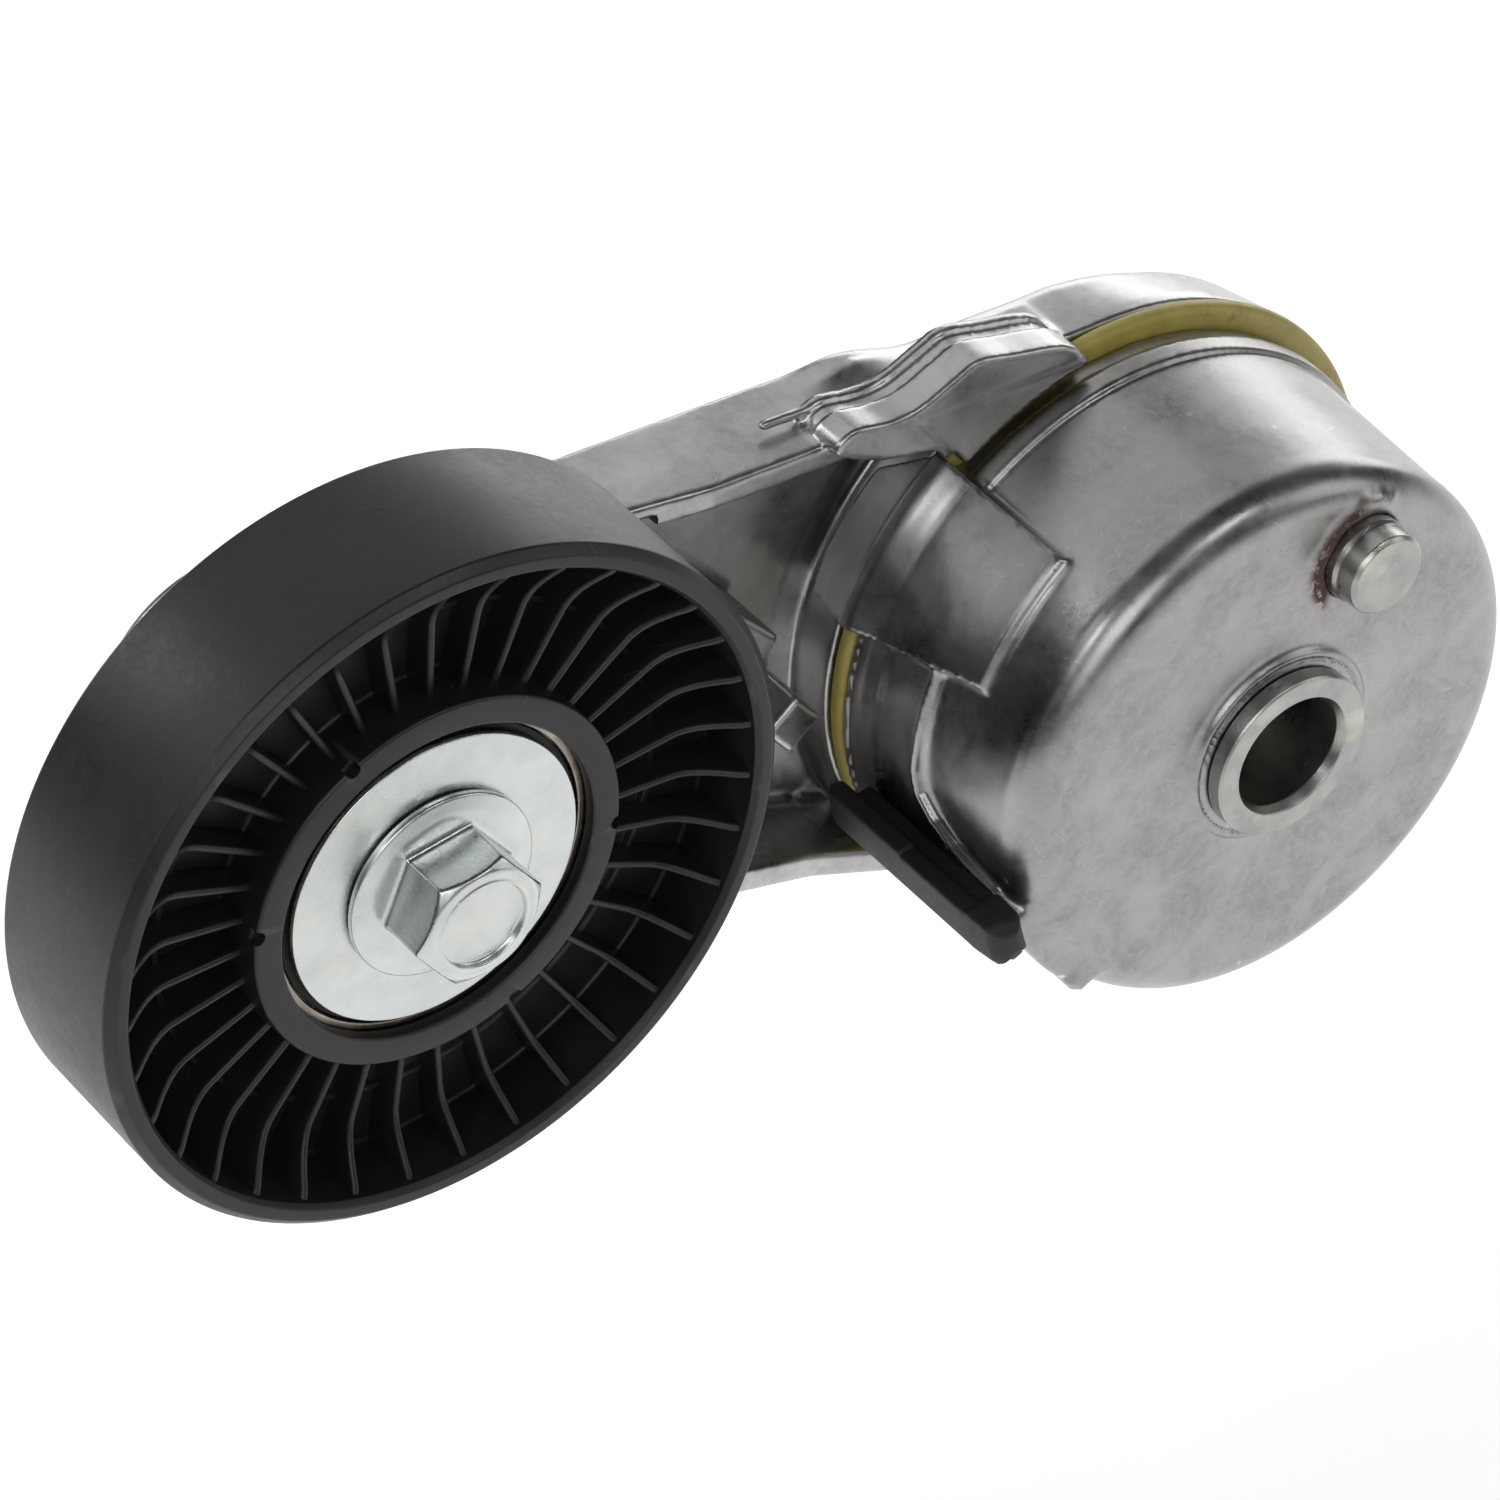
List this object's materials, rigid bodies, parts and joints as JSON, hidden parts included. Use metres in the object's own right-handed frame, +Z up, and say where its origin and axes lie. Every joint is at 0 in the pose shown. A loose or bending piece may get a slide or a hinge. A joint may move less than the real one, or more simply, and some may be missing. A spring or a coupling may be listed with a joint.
{
  "type": "belt tensioner idler",
  "caption": "Spring-loaded belt tensioner: cast case and arm with a black nylon ball-bearing pulley, steel pivot tube and locating pin.",
  "frame": {"origin": "on the pivot axis, in the plane of the spring case's mounting face", "axes": "-Y out of the mounting face towards the engine, +Y along the pivot towards the arm, -X towards the pulley, +Z up"},
  "size_m": [0.1847, 0.0525, 0.1109],
  "materials": {
    "cast_aluminium": "as-cast, lightly scratched",
    "plain_steel": "machined",
    "zinc_steel": "bright zinc plated",
    "bearing_steel": "ground",
    "spring_steel": "oiled",
    "black_nylon": "glass-filled, satin",
    "black_plastic": "satin",
    "seal_rubber": "matte",
    "yellow_nylon": "satin"
  },
  "bodies": {
    "base": {"spring_case": "cast_aluminium", "pivot_tube": "plain_steel", "locating_pin": "plain_steel", "stop_bumper": "black_plastic", "spring_seat": "black_plastic", "thrust_washer": "yellow_nylon", "retaining_washer": "zinc_steel", "torsion_spring": "spring_steel"},
    "arm": {"tensioner_arm": "cast_aluminium", "pivot_bushing": "yellow_nylon", "wear_ring": "yellow_nylon", "damping_shoe": "black_plastic", "bearing_inner_ring": "bearing_steel", "bearing_spacer": "zinc_steel", "front_dust_shield": "zinc_steel", "rear_dust_shield": "zinc_steel", "pulley_bolt": "zinc_steel"},
    "pulley": {"pulley_wheel": "black_nylon", "bearing_outer_ring": "bearing_steel", "front_seal": "seal_rubber", "rear_seal": "seal_rubber"},
    "ball_set": {"ball_cage": "yellow_nylon", "bearing_ball_1": "bearing_steel", "bearing_ball_2": "bearing_steel", "bearing_ball_3": "bearing_steel", "bearing_ball_4": "bearing_steel", "bearing_ball_5": "bearing_steel", "bearing_ball_6": "bearing_steel", "bearing_ball_7": "bearing_steel", "bearing_ball_8": "bearing_steel"}
  },
  "joints": [
    {"name": "arm_pivot", "type": "hinge", "parent": "base", "child": "arm", "pos_m": [0, 0, 0], "axis": [0, 1, 0], "range_deg": [0, 45], "stiffness_Nm_per_rad": 12, "springref_deg": -57.3, "deforming": ["torsion_spring"]},
    {"name": "pulley_spin", "type": "hinge", "parent": "arm", "child": "pulley", "pos_m": [-0.1074, 0, 0.0336], "axis": [0, 1, 0], "continuous": true},
    {"name": "cage_spin", "type": "hinge", "parent": "arm", "child": "ball_set", "pos_m": [-0.1074, 0, 0.0336], "axis": [0, 1, 0], "continuous": true}
  ],
  "couplings": [
    {"joint": "cage_spin", "follows": "pulley_spin", "ratio": 0.6182}
  ]
}
